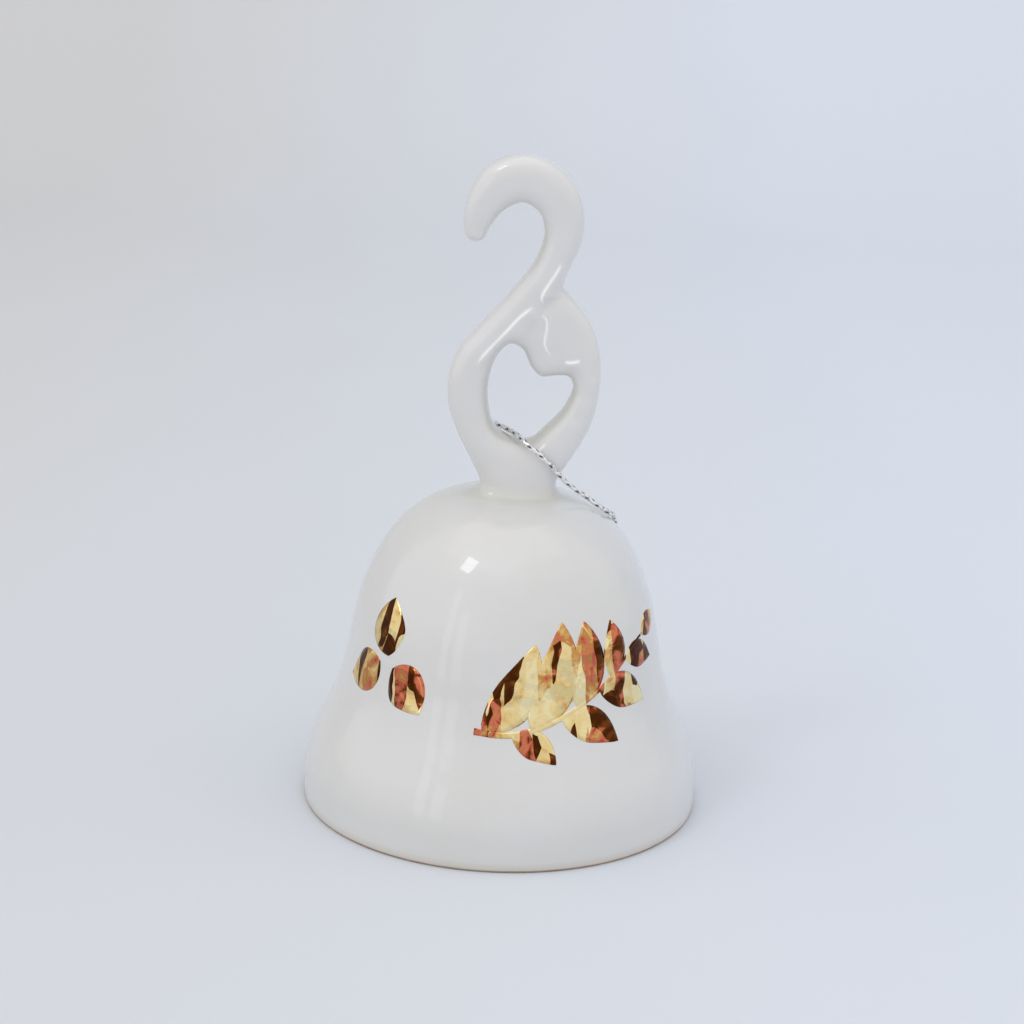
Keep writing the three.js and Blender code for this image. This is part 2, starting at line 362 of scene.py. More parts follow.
# The gold's colour from thick film to thin, dark to pale; besides the lustre's own tones it holds painted
# reflection: the near-black and pale upright stripes stand in for the room mirrored in the gold.
LUSTRE_AND_REFLECTION = [
    (0.20, (0.065, 0.018, 0.004)), (0.33, (0.17, 0.050, 0.010)), (0.36, (0.50, 0.11, 0.055)),
    (0.44, (0.68, 0.20, 0.12)), (0.48, (0.50, 0.22, 0.06)), (0.58, (0.72, 0.42, 0.15)),
    (0.66, (0.82, 0.62, 0.27)), (0.90, (0.90, 0.78, 0.45)),
]
STRIPE_WANDER = (5 * MM, 5 * MM, 5 * MM)
STRIPE_STRETCH = (1.0, 1.0, 0.13)


def gold_material():
    """Fired gold lustre: a metallic film in upright stripes, pale, coppery or nearly black, the pale and
    near-black stripes partly painted reflection.
    """
    material, tree, shader, place = new_material("gold_lustre")
    wander = noise(tree, place, 90.0, 2.0, 0.5, output="Color")
    bent = add(tree, "ShaderNodeVectorMath", {0: wander, 1: STRIPE_WANDER, 2: place},
               operation="MULTIPLY_ADD")
    tall = add(tree, "ShaderNodeMapping", {"Vector": bent.outputs[0], "Scale": STRIPE_STRETCH})
    stripe = add(tree, "ShaderNodeTexVoronoi", {"Vector": tall.outputs["Vector"], "Scale": 300.0},
                 feature="F1")
    pick = add(tree, "ShaderNodeSeparateColor", {"Color": stripe.outputs["Color"]}).outputs["Red"]
    clouds = noise(tree, place, 210.0, 3.0, 0.6, 1.0)
    # Painted reflection: the stripes' pale and near-black tones stand in for the room mirrored in the
    # gold, over the lustre's own tones.
    lustre_and_reflection_tone = spread(tree, maths(tree, "MULTIPLY_ADD", clouds, 1.1, pick), 0.35, 1.60)
    feed(tree, shader, {"Base Color": ramp(tree, lustre_and_reflection_tone, LUSTRE_AND_REFLECTION), "Metallic": 1.0})
    roughened(tree, shader, noise(tree, place, 900.0, 3.0, 0.6), 0.04, 0.14)
    bumped(tree, shader, noise(tree, place, 200.0, 2.0, 0.5), 0.4, 0.6 * MM)
    return material


SILVER_TONES = [(0.30, (0.42, 0.41, 0.42)), (0.45, (0.86, 0.85, 0.86)), (0.60, (0.97, 0.96, 0.97))]
# Painted shade: near black, laid where the braid's surface lies deep between strands.
PAINTED_HOLLOW_SHADE = (0.045, 0.042, 0.045, 1)


def cord_material():
    """Metallised yarn: bright strands, with shade painted near black into the hollows between them."""
    material, tree, shader, place = new_material("silver_cord")
    flecks = noise(tree, place, 1500.0, 2.0, 0.6)
    shaded = blended(tree, marked(tree, HOLLOW_SHADE), ramp(tree, flecks, SILVER_TONES), PAINTED_HOLLOW_SHADE)
    feed(tree, shader, {"Base Color": shaded, "Metallic": 0.85})
    roughened(tree, shader, flecks, 0.42, 0.20)
    bumped(tree, shader, noise(tree, place, 5200.0, 1.0, 0.5), 0.5, 0.06 * MM)
    return material


STEEL_TONES = [(0.35, (0.42, 0.41, 0.39)), (0.65, (0.66, 0.65, 0.63))]


def wire_material():
    """Drawn steel wire: fine marks along it and a little dulling."""
    material, tree, shader, place = new_material("clapper_metal")
    stretched = add(tree, "ShaderNodeMapping", {"Vector": place, "Scale": (1.0, 1.0, 0.08)})
    marks = noise(tree, stretched.outputs["Vector"], 2600.0, 3.0, 0.6)
    dull = noise(tree, place, 180.0, 3.0, 0.6)
    feed(tree, shader, {"Base Color": ramp(tree, dull, STEEL_TONES), "Metallic": 1.0})
    roughened(tree, shader, dull, 0.24, 0.42)
    bumped(tree, shader, marks, 0.25, 0.04 * MM)
    return material


BELL_GLAZE = porcelain_material("bell_glaze", BELL_WHITE, BELL_WARM, foot_line=True)
GLAZE = porcelain_material("glaze", HANDLE_WHITE, HANDLE_WARM)
GOLD = gold_material()
SILVER = cord_material()
WIRE = wire_material()


# ---- The cord: from the knot up the back, through the loop, over the shoulder to the knot ----
CORD_ROUTE = [
    (27.7, 26.1, 29.4), (25.8, 26.6, 33.0), (23.8, 27.1, 38.2), (21.2, 27.7, 44.6),
    (18.1, 27.8, 51.1), (14.3, 26.8, 57.7), (10.3, 24.1, 64.2), (6.5, 19.8, 69.1),
    (3.0, 15.0, 72.0), (-0.8, 11.0, 73.2), (-4.2, 8.2, 75.4), (-7.2, 6.8, 78.8),
    (-8.9, 6.2, 81.8), (-9.4, 6.2, 84.1), (-8.5, 6.4, 86.2), (-6.4, 6.5, 87.1),
    (-4.1, 5.6, 86.6), (-2.0, 3.4, 86.2), (-0.1, 0.3, 86.1), (1.6, -3.1, 85.8),
    (3.6, -5.7, 84.6), (6.1, -6.1, 82.8), (8.6, -5.9, 80.4), (10.8, -5.1, 77.8),
    (13.2, -3.2, 75.2), (16.6, -1.2, 72.4), (20.2, 0.4, 69.5), (22.5, 2.2, 67.6),
    (23.4, 6.3, 66.2), (24.0, 11.0, 63.8), (24.7, 14.8, 60.5), (25.5, 17.9, 55.9),
    (26.7, 20.1, 50.3), (27.6, 21.5, 44.2), (28.3, 22.5, 37.6), (29.3, 23.5, 31.0),
]
BRAID_STRANDS = 2          # each way round
BRAID_PITCH = 6.4 * MM     # length of one turn of a strand
BRAID_SIDES = 32
BRAID_STEP = 0.10 * MM
HOLLOW_SHADE_FROM = 0.47         # shares of the diameter: where the painted shade starts to darken the surface
HOLLOW_SHADE_DEPTH = 0.14        # and how much deeper it is quite dark


def braid_radii(count, step, diameter):
    """How far the braid's surface stands from its centreline, for each ring and side.

    Flat strands wind both ways round, each passing over and under those that it meets.
    """
    wide = 0.33 * diameter        # half the width of a strand
    thick = 0.17 * diameter       # how far its crown stands over its edges
    middle = 0.34 * diameter      # where its edges lie
    lift = 0.05 * diameter        # how far it rises and dips where strands cross
    core = 0.27 * diameter        # what shows between strands
    turn = 2 * np.pi * np.arange(count)[:, None] * step / BRAID_PITCH
    slant = math.cos(math.atan(2 * np.pi * middle / BRAID_PITCH))
    radii = np.full((count, BRAID_SIDES), core)
    for way in (1, -1):
        height = middle + way * lift * np.cos(BRAID_STRANDS * turn)
        for k in range(BRAID_STRANDS):
            strand_at = way * turn + 2 * np.pi * k / BRAID_STRANDS
            off = (around(BRAID_SIDES) - strand_at + np.pi) % (2 * np.pi) - np.pi
            across = np.abs(off) * middle * slant / wide
            crown = height + thick * np.sqrt(np.clip(1 - across ** 2, 0, None))
            radii = np.where(across < 1, np.maximum(radii, crown), radii)
    return radii


def braided(line, diameter):
    """A braid along a line: its points and faces, the line, and the painted shade at each point, darker
    where the surface lies deeper.
    """
    count = max(8, int(line_length(line) / BRAID_STEP))
    line = evenly(line, count)
    step = line_length(line) / (count - 1)
    radii = braid_radii(count, step, diameter)
    # Painted shade, by how deep the surface lies between strands.
    hollow_shade = np.clip((HOLLOW_SHADE_FROM - radii / diameter) / HOLLOW_SHADE_DEPTH, 0, 1)
    return tube_mesh(line, radii, BRAID_SIDES), line, np.append(hollow_shade.ravel(), (0.0, 0.0))


KNOT_LOW, KNOT_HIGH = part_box("cord_knot")
KNOT_PLACE = np.array((KNOT_LOW + KNOT_HIGH) / 2)
KNOT_WIDE = 0.62 * MM
KNOT_TALL = 0.72 * MM
KNOT_DEEP = 0.52 * MM
KNOT_ENDS = [(-0.45, 7.5), (0.55, 6.3)]        # each cut end's lean and how low it hangs
# How a cut end starts, as (share of its lean, down, away from the bell).
END_COURSE = [(1.2, 0.9, 0.0), (2.2, 3.0, 0.35), (3.6, 5.0, 1.45)]


def make_cord():
    """The whole loop: both of its ends run into the knot."""
    route = spline(np.vstack([KNOT_PLACE, np.array(CORD_ROUTE) * MM, KNOT_PLACE]), 24)
    (points, faces), line, hollow_shade = braided(route, CORD_DIAMETER)
    cord = new_piece("hanging_cord_braid", points, faces, SILVER, "bell")
    mark(cord, HOLLOW_SHADE, hollow_shade)
    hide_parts("hanging_cord")
    return cord, line


def joined(meshes):
    """Several (points, faces) as one."""
    points, faces, start = [], [], 0
    for p, f in meshes:
        points.append(np.asarray(p, float))
        faces += [[i + start for i in face] for face in f]
        start += len(p)
    return np.vstack(points), faces


def make_knot():
    """An overhand knot that closes the loop, with two short cut ends under it."""
    away = np.array((KNOT_PLACE[0], KNOT_PLACE[1], 0.0))
    away /= np.linalg.norm(away)
    side = np.cross((0.0, 0.0, 1.0), away)
    up = np.array((0.0, 0.0, 1.0))
    t = np.linspace(0, 2 * np.pi, 120, endpoint=False)
    loops = (KNOT_PLACE
             + np.outer(KNOT_WIDE * (np.sin(t) + 2 * np.sin(2 * t)), side)
             + np.outer(KNOT_TALL * (np.cos(t) - 2 * np.cos(2 * t)), up)
             + np.outer(-KNOT_DEEP * np.sin(3 * t), away))
    loops = np.vstack([loops, loops[:1]])
    parts = [braided(loops, CORD_DIAMETER)]
    for lean, length in KNOT_ENDS:
        drop = [KNOT_PLACE + (side * lean * sideways - up * down + away * out) * MM
                for sideways, down, out in END_COURSE + [(4.8, length, 2.6)]]
        parts.append(braided(spline(drop, 12), CORD_DIAMETER))
    points, faces = joined([mesh for mesh, line, hollow_shade in parts])
    knot = new_piece("cord_overhand_knot", points, faces, SILVER, "bell")
    mark(knot, HOLLOW_SHADE, np.concatenate([hollow_shade for mesh, line, hollow_shade in parts]))
    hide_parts("cord_knot")
    return knot


cord, cord_line = make_cord()
knot = make_knot()


# ---- Floor, backdrop and light ----
ROOM_LIGHT = 0.908                # how bright the room is
ROOM_NEAR = 0.92                  # its near side's brightness over the rest
ROOM_COLOUR = (1.0, 0.99, 0.985, 1)
# Painted light: the sheet's colour on its shaded left and on its lit right.
PAPER_SHADED_LEFT = (0.66, 0.665, 0.675)
PAPER_LIT_RIGHT = (0.725, 0.775, 0.86)
PAPER_REACH = 3.0                 # how far the sheet goes to each side, forward and up
PAPER_BACK = 0.75                 # where it starts to curve up
PAPER_BEND = 0.55

# The lamps as (name, place, size, watts, the point they are turned to), in metres.
LAMPS = [
    ("window", (-0.93, -0.765, 1.62), (0.34, 0.46), 2.2, (0, 0, 0.06)),
    ("window_glow", (-1.40, -1.42, 0.55), (0.20, 1.3), 0.55, (0, 0, 0.04)),
    ("door_glow", (-1.10, -1.66, 0.45), (0.24, 0.9), 0.42, (0, 0, 0.04)),
    ("overhead", (-0.1, -0.1, 1.6), (1.8, 1.8), 3.6, (0, 0, 0.06)),
]


def make_stage():
    """A pale sheet that lies under the bell and curves up behind it."""
    path = [(-PAPER_REACH, 0.0), (PAPER_BACK, 0.0)]
    for a in np.linspace(0, math.pi / 2, 25)[1:]:
        path.append((PAPER_BACK + PAPER_BEND * math.sin(a), PAPER_BEND * (1 - math.cos(a))))
    path.append((PAPER_BACK + PAPER_BEND, PAPER_REACH))
    points = [(x, y, z) for y, z in path for x in (-PAPER_REACH, PAPER_REACH)]
    faces = [(2 * i, 2 * i + 1, 2 * i + 3, 2 * i + 2) for i in range(len(path) - 1)]
    mesh = bpy.data.meshes.new("floor")
    mesh.from_pydata(points, [], faces)
    mesh.polygons.foreach_set("use_smooth", [True] * len(faces))
    material, tree, shader, place = new_material("floor_paper")
    grain = noise(tree, place, 5.0, 3.0, 0.5)
    # Painted light: the sheet runs from greyer and darker on the left to lighter and bluer on the right,
    # as the room's light falls, with a faint grain.
    across = add(tree, "ShaderNodeSeparateXYZ", {"Vector": place}).outputs["X"]
    shade = spread(tree, maths(tree, "MULTIPLY_ADD", grain, 0.12, across), -0.20, 0.22)
    paper = ramp(tree, shade, [(0.0, PAPER_SHADED_LEFT), (1.0, PAPER_LIT_RIGHT)])
    feed(tree, shader, {"Base Color": paper, "Roughness": 0.75, "Specular IOR Level": 0.2})
    mesh.materials.append(material)
    placed("floor", mesh)


def area_light(name, place, size, watts, aim):
    light = bpy.data.lights.new(name, "AREA")
    light.shape = "RECTANGLE"
    light.size, light.size_y = size
    light.energy = watts
    lamp = placed(name, light)
    lamp.location = place
    lamp.rotation_mode = "QUATERNION"
    lamp.rotation_quaternion = (Vector(aim) - Vector(place)).to_track_quat("-Z", "Y")


def make_light():
    """A bright, even room whose near side, behind the camera, is dimmer, and four soft lamps."""
    world = bpy.data.worlds.new("soft_room")
    world.use_nodes = True
    tree = world.node_tree
    direction = add(tree, "ShaderNodeTexCoord").outputs["Generated"]
    parts = add(tree, "ShaderNodeSeparateXYZ", {"Vector": direction})
    depth = spread(tree, parts.outputs["Y"], -0.95, -0.25, ROOM_NEAR, 1.0)
    height = spread(tree, parts.outputs["Z"], 0.30, 0.75, ROOM_NEAR, 1.0)
    strength = maths(tree, "MULTIPLY", maths(tree, "MAXIMUM", depth, height), ROOM_LIGHT)
    feed(tree, tree.nodes["Background"], {"Color": ROOM_COLOUR, "Strength": strength})
    bpy.context.scene.world = world
    for lamp in LAMPS:
        area_light(*lamp)


make_stage()
make_light()
bpy.context.scene.view_settings.view_transform = "Standard"


# ---- The bell ----
OUTER_CURVE = [
    (0, 72), (9, 71.8), (16, 70.6), (22, 66.9), (27, 61.5), (30.5, 55), (33.1, 48),
    (34.8, 40), (36.1, 33), (37.8, 27), (40.4, 21), (43.1, 15), (44.7, 9), (45, 4),
]
OUTER_UNITS = (RIM_RADIUS / 45, CROWN_HEIGHT / 72)     # the curve is drawn 45 wide and 72 high
WALL = 3.5 * MM
FOOT_ROLL = 0.6 * MM        # the rounding of the foot's outer edge
FOOT_ROLL_HEIGHT = 0.8 * MM
INNER_ROLL = 0.8 * MM       # and of its inner edge
INNER_ROLL_HEIGHT = 0.9 * MM
BELL_SIDES = 288
NECK_CENTRE = 1.4           # the handle's foot on the crown, in millimetres
NECK_HALF_WIDTH = 10.5
NECK_HALF_DEPTH = 7.2
NECK_POOLING_AND_SHADE = 0.42         # how much pooled glaze and painted shade lies round it
CROWN_EDGE = 66

outer_line = evenly(spline(np.array(OUTER_CURVE) * OUTER_UNITS, 16), 130)
outer_slope = np.gradient(outer_line, axis=0)
outer_slope /= np.linalg.norm(outer_slope, axis=1)[:, None]
outer_normal = np.stack([-outer_slope[:, 1], outer_slope[:, 0]], axis=1)
outer_normal[0] = (0.0, 1.0)


# Hand-made, so never quite round: waves as (depth, how many go round, start, turn with height).
WAVES = [(0.07 * MM, 2, 0.8, 22), (0.05 * MM, 5, 0.0, -31), (0.03 * MM, 9, 0.0, 90)]
WOBBLE_FROM = 6 * MM        # the foot's widest ring stays round, so that the bell keeps its size
WOBBLE_GROWS = 12 * MM


def hand_wobble(angle, height):
    """How far the outer surface stands out at that angle and height."""
    waves = sum(deep * math.sin(n * angle + start + turn * height) for deep, n, start, turn in WAVES)
    return waves * min(1.0, max(0.0, (height - WOBBLE_FROM) / WOBBLE_GROWS))


def outer_at(height, values):
    """The outer line's radius, or another of its values, at a height."""
    return np.interp(-height, -outer_line[:, 1], values)


def on_bell(angle, height, lift):
    """The point that far off the outer surface, at that angle from the front and that height."""
    turn = angle - math.pi / 2
    r = outer_at(height, outer_line[:, 0]) + hand_wobble(turn % (2 * math.pi), height)
    r = r + outer_at(height, outer_normal[:, 0]) * lift
    z = height + outer_at(height, outer_normal[:, 1]) * lift
    return np.array((r * math.cos(turn), r * math.sin(turn), z))


def round_neck(x, y, spread_out):
    """1 along the oval where the handle meets the crown, falling away to both sides of it."""
    oval = np.hypot((x - NECK_CENTRE) / NECK_HALF_WIDTH, y / NECK_HALF_DEPTH)
    return np.exp(-((oval - 1.0) / spread_out) ** 2)


def make_bell():
    """One turned wall, from inside the crown down, round the foot and up the outside."""
    inner = outer_line - outer_normal * WALL
    inner[0] = (0.0, CROWN_HEIGHT - WALL)
    inner = inner[inner[:, 0] >= 0]
    foot = []
    for a in np.linspace(0, math.pi / 2, 9):
        foot.append((RIM_RADIUS - FOOT_ROLL * (1 - math.cos(a)), FOOT_ROLL_HEIGHT * (1 - math.sin(a))))
    for a in np.linspace(0, math.pi / 2, 7):
        foot.append((RIM_RADIUS - WALL + INNER_ROLL * (1 - math.sin(a)),
                     INNER_ROLL_HEIGHT * (1 - math.cos(a))))
    profile = np.vstack([inner, np.array(foot)[::-1], outer_line[::-1]])
    points, faces = lathe_mesh(profile, BELL_SIDES, hand_wobble)
    bell = new_piece("bell_body", points, faces, BELL_GLAZE, "bell")
    x, y, z = np.array(points).T / MM
    # Pooled glaze and painted shade round the handle's foot on the crown.
    mark(bell, POOLING_AND_SHADE, NECK_POOLING_AND_SHADE * round_neck(x, y, 0.22) * (z > CROWN_EDGE))
    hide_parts("bell_shell")


make_bell()


# ---- The handle ----
RIGHT_SIDE = [
    (10.2, 67), (10.2, 72.3), (10.3, 76), (12.7, 80), (15.4, 84.7), (17.7, 90.2), (18.9, 98),
    (18.1, 106.6), (15.9, 111.9), (12.6, 116.2), (9.9, 119.2),
]
HOOK_AND_LEFT_SIDE = [
    (9.9, 119.2), (10.8, 123), (12.8, 127.5), (13.8, 133), (12.8, 139.3), (9.8, 143.9), (5.2, 147),
    (-0.6, 148), (-7, 145.6), (-10.1, 142), (-12.2, 136.4), (-12.3, 131.3), (-11.6, 129.4),
    (-9.7, 128.6), (-7.8, 129.4), (-6.7, 131.8), (-3.8, 135.6), (0.2, 137.5), (3.9, 135.4),
    (5.1, 131), (3.5, 125.2), (-1.2, 118.5), (-8.4, 109.9), (-12.4, 104.9), (-14.6, 99),
    (-14.6, 92.6), (-12.6, 86.6), (-9, 79.4), (-7.2, 75.7), (-7, 72.3), (-7, 67),
]
LOOP_HOLE = [
    (-1.2, 106.4), (1.4, 105.2), (3.4, 101.4), (5.7, 99.3), (9, 99.6), (11.8, 99.4), (12.8, 97.2),
    (10.8, 91.9), (7.3, 87.9), (3.8, 84.8), (-0.5, 85.2), (-4, 87.4), (-5.6, 92.2), (-5.7, 98.4),
    (-3.8, 104),
]
# The middle of each limb as (x, z, half its width, half its thickness).
LIMBS = [
    (-9.75, 130.9, 2.45, 3.3), (-9.6, 132.4, 2.7, 3.6), (-9.2, 134.2, 3.0, 3.9),
    (-8.5, 136.3, 3.5, 4.2), (-7.2, 138.5, 4.1, 4.5), (-5.2, 140.7, 4.7, 4.8),
    (-2.7, 142.1, 5.0, 5.0), (1.7, 142.6, 5.2, 5.0), (5.9, 140.6, 5.1, 5.0), (8.6, 137.1, 4.7, 4.9),
    (9.5, 132.8, 4.4, 4.8), (9.0, 128.4, 4.1, 4.8), (7.2, 124.1, 4.1, 4.8), (4.6, 119.6, 4.2, 4.9),
    (1.1, 115.1, 4.2, 4.9), (-3.1, 110.2, 4.1, 4.9), (-7.3, 105.4, 4.0, 4.8), (-9.9, 100.5, 4.2, 4.8),
    (-10.4, 95.3, 4.4, 4.8), (-9.4, 90.3, 4.4, 4.8), (-7.0, 85.8, 4.8, 4.9), (-2.5, 81.5, 5.5, 5.0),
    (1.4, 77.0, 8.0, 5.2), (1.4, 73.0, 8.0, 5.4), (8.5, 82.5, 5.0, 4.9), (12.0, 87.0, 4.0, 4.7),
    (14.6, 92.0, 3.4, 4.4), (15.8, 97.5, 3.1, 4.2), (14.2, 103.0, 5.0, 4.2), (11.0, 105.5, 7.0, 4.2),
    (10.5, 110.0, 6.5, 4.2), (9.8, 114.0, 5.0, 4.3), (7.5, 103.5, 5.0, 4.1),
]
# Where the upper limb crosses in front of the leaf: from the notch, dying out above the hole.
CREASE = [(9.9, 119.2), (8.0, 116.4), (5.6, 113.9), (4.3, 111.6)]
CREASE_WIDTH = 1.2      # at the notch
CREASE_FADE = 3.2       # how much wider it is where it has died out
CREASE_DEPTH = 0.6

# Where the limbs of the handle overlap, one surface stands a little proud of the next. Each edge is a
# line of (x, z) with the proud side on its left, and the step's height.
OVERLAPS = [
    ([(9.2, 125.8), (8.3, 123.6), (6.7, 120.9), (5.4, 118.6), (5.1, 117.4), (5.7, 115.9)], 0.50),
    ([(3.6, 115.6), (2.4, 114.8), (0.3, 112.9), (-2.6, 109.5), (-5.1, 106.7), (-7.4, 103.9),
      (-8.8, 101.4)], 0.45),
    ([(4.9, 113.8), (6.2, 112.8), (6.5, 111.0), (6.2, 107.1), (8.0, 104.0)], 0.45),
    ([(14.2, 103.9), (13.0, 103.5), (11.6, 103.3), (10.6, 103.5)], 0.50),
]
STEP_RISE = 0.20        # how quickly an overlap's step rises
STEP_FADE = 2.6         # and how far it takes to die out again
FIELD_STEP = 0.2        # spacing of the flat maps that the handle's form is read from
LIMB_BLEND = 0.45       # how softly each limb's sizes run into the next one's
SECTION_POWER = 2.8     # 2 is an oval section, and more is squarer
CROWN_FILLET = 3.4      # where the handle runs out into the crown
SUNK = 0.5              # how far it goes in under the crown's surface


def nearest_on(points, line, closed):
    """For each 2-D point: distance to a line, at which share of it, and +1 on its left or -1."""
    starts = line if closed else line[:-1]
    ends = np.roll(line, -1, axis=0) if closed else line[1:]
    best = np.full(len(points), np.inf)
    share = np.zeros(len(points))
    side = np.ones(len(points))
    for i, (p, q) in enumerate(zip(starts, ends)):
        d = q - p
        off = points - p
        t = np.clip((off @ d) / max(d @ d, 1e-12), 0, 1)
        far = np.hypot(off[:, 0] - t * d[0], off[:, 1] - t * d[1])
        nearer = far < best
        best[nearer] = far[nearer]
        share[nearer] = (i + t[nearer]) / len(starts)
        side[nearer] = np.where(d[0] * off[nearer, 1] - d[1] * off[nearer, 0] >= 0, 1.0, -1.0)
    return best, share, side


def within(points, polygon):
    """Whether each 2-D point lies in the polygon."""
    x, y = points.T
    inside = np.zeros(len(points), bool)
    for (x0, y0), (x1, y1) in zip(polygon, np.roll(polygon, -1, axis=0)):
        crosses = (y0 > y) != (y1 > y)
        if y0 != y1:
            inside ^= crosses & (x < (x1 - x0) * (y - y0) / (y1 - y0) + x0)
    return inside


def soft_ends(share, fade=0.22):
    """1 along the middle of a line, falling smoothly to 0 at its two ends."""
    rise = np.clip(np.minimum(share, 1 - share) / fade, 0, 1)
    return rise * rise * (3 - 2 * rise)


def outline_depth(flat):
    """How far inside the outline each (x, z) is, less where the upper limb creases the leaf."""
    outline = np.vstack([spline(RIGHT_SIDE, 12)[:-1], spline(HOOK_AND_LEFT_SIDE, 12)])
    hole = spline(LOOP_HOLE, 12, closed=True)
    solid = within(flat, outline) & ~within(flat, hole)
    inside = np.minimum(nearest_on(flat, outline, True)[0], nearest_on(flat, hole, True)[0])
    inside = np.where(solid, inside, -inside)
    far, share, _ = nearest_on(flat, spline(CREASE, 8), False)
    grooved = np.sqrt(far ** 2 + (CREASE_WIDTH + CREASE_FADE * share ** 2) ** 2)
    return -np.log(np.exp(-inside) + CREASE_DEPTH * np.exp(-grooved))


def limb_section(flat):
    """Half the width and half the thickness of the limb at each (x, z)."""
    limbs = np.array(LIMBS)
    gap = ((flat[:, None] - limbs[None, :, :2]) ** 2).sum(2) / limbs[None, :, 2] ** 2
    weight = 1 / (gap + LIMB_BLEND) ** 3
    weight /= weight.sum(1)[:, None]
    return weight @ limbs[:, 2], weight @ limbs[:, 3]


def overlap_steps(flat):
    """How much thicker the limbs are on the proud side of the overlaps."""
    total = np.zeros(len(flat))
    for line, height in OVERLAPS:
        far, share, side = nearest_on(flat, spline(line, 8), False)
        across = far * side
        rise = 1 / (1 + np.exp(-np.clip(across / STEP_RISE, -30, 30)))
        fade = np.exp(-(np.clip(across, 0, None) / STEP_FADE) ** 2)
        total += height * rise * fade * soft_ends(share)
    return total


class HandleForm:
    """The handle as a function of x, y and z in millimetres that is negative in the clay."""

    def __init__(self, low, high):
        self.low = low[[0, 2]] - 2 * FIELD_STEP
        size = np.ceil((high[[0, 2]] - self.low) / FIELD_STEP).astype(int) + 4
        x, z = (start + FIELD_STEP * np.arange(n) for start, n in zip(self.low, size))
        flat = np.stack(np.meshgrid(x, z, indexing="ij"), axis=-1).reshape(-1, 2)
        wide, thick = limb_section(flat)
        maps = [outline_depth(flat), wide, thick + overlap_steps(flat)]
        self.maps = np.stack([m.reshape(size) for m in maps], axis=-1)

    def read(self, flat):
        """The maps at any (x, z), by a cubic B-spline, which also smooths them a little."""
        at = (flat - self.low) / FIELD_STEP
        cell = np.clip(np.floor(at).astype(int), 1, np.array(self.maps.shape[:2]) - 3)
        t = at - cell
        weights = [(1 - t) ** 3 / 6, (3 * t ** 3 - 6 * t ** 2 + 4) / 6,
                   (-3 * t ** 3 + 3 * t ** 2 + 3 * t + 1) / 6, t ** 3 / 6]
        total = 0
        for i, k in np.ndindex(4, 4):
            weight = weights[i][:, 0] * weights[k][:, 1]
            total = total + self.maps[cell[:, 0] + i - 1, cell[:, 1] + k - 1] * weight[:, None]
        return total.T

    def __call__(self, x, y, z):
        """The limb's rounded section, run into the crown by a small fillet."""
        flat = np.stack(np.broadcast_arrays(x, z), axis=-1)
        inside, wide, thick = self.read(flat.reshape(-1, 2)).reshape(3, *flat.shape[:-1])
        across = np.clip(1 - inside / wide, 0, None)
        reach = across ** SECTION_POWER + (np.abs(y) / thick) ** SECTION_POWER + 1e-9
        limb = (reach ** (1 / SECTION_POWER) - 1) * np.minimum(wide, thick)
        crown = z - np.interp(np.hypot(x, y), outer_line[:, 0] / MM, outer_line[:, 1] / MM)
        near_both = np.clip(CROWN_FILLET - np.abs(limb - crown), 0, None)
        mixed = np.minimum(limb, crown) - near_both ** 2 / (4 * CROWN_FILLET)
        return np.maximum(np.maximum(mixed, -crown - SUNK), limb - CROWN_FILLET * 0.97)


def surface_net(values, low, step):
    """The zero surface of a grid of values, as points and four-sided faces."""
    inside = values < 0
    cells = np.array(values.shape) - 1
    corners = list(np.ndindex(2, 2, 2))
    parts = [inside[tuple(slice(c, c + n) for c, n in zip(corner, cells))] for corner in corners]
    at = np.argwhere(np.any(parts, axis=0) & ~np.all(parts, axis=0))
    number = np.full(cells, -1)
    number[tuple(at.T)] = np.arange(len(at))
    total = np.zeros((len(at), 3))
    count = np.zeros(len(at))
    for corner in corners:
        for axis in range(3):
            if corner[axis]:
                continue
            one = at + corner
            other = one + np.eye(3, dtype=int)[axis]
            a, b = values[tuple(one.T)], values[tuple(other.T)]
            crossing = (a < 0) != (b < 0)
            place = np.tile(np.array(corner, float), (len(at), 1))
            place[:, axis] += a / np.where(a == b, 1, a - b)
            total[crossing] += place[crossing]
            count += crossing
    points = np.asarray(low) + (at + total / count[:, None]) * step
    faces = []
    for axis in range(3):
        trim = [slice(1, -1)] * 3
        trim[axis] = slice(0, None)
        changes = np.diff(inside, axis=axis)[tuple(trim)]
        where = np.argwhere(changes) + [part.start for part in trim]
        u, v = np.roll(np.eye(3, dtype=int), -axis - 1, axis=0)[:2]
        quad = np.stack([number[tuple((where + s).T)] for s in (-u - v, -v, 0 * u, -u)], axis=1)
        outward = inside[tuple(where.T)]
        faces.append(np.where(outward[:, None], quad, quad[:, ::-1]))
    return points, np.vstack(faces)


SMALL = 0.02            # the step that the form's slope is read over


def settled(form, points, rounds):
    """The points moved onto the form's surface."""
    for _ in range(rounds):
        value = form(*points.T)
        steps = [form(*(points + SMALL * axis).T) for axis in np.eye(3)]
        slope = np.stack([(step - value) / SMALL for step in steps], axis=1)
        size = np.clip((slope ** 2).sum(1), 0.05, None)
        points = points - np.clip(value / size, -0.4, 0.4)[:, None] * slope
    return points


def relaxed(points, faces):
    """Each point moved half way to the middle of its neighbours."""
    total = np.zeros_like(points)
    count = np.zeros(len(points))
    for a, b in ((0, 1), (1, 2), (2, 3), (3, 0)):
        for one, other in ((faces[:, a], faces[:, b]), (faces[:, b], faces[:, a])):
            np.add.at(total, one, points[other])
            np.add.at(count, one, 1)
    return 0.5 * points + 0.5 * total / count[:, None]


# Pooled glaze and painted shade along the hole and inside the hook: how strong, and how wide.
HOLE_POOLING_AND_SHADE = 0.55
HOOK_POOLING_AND_SHADE = 0.40
POOL_AND_SHADE_WIDTH = 0.9
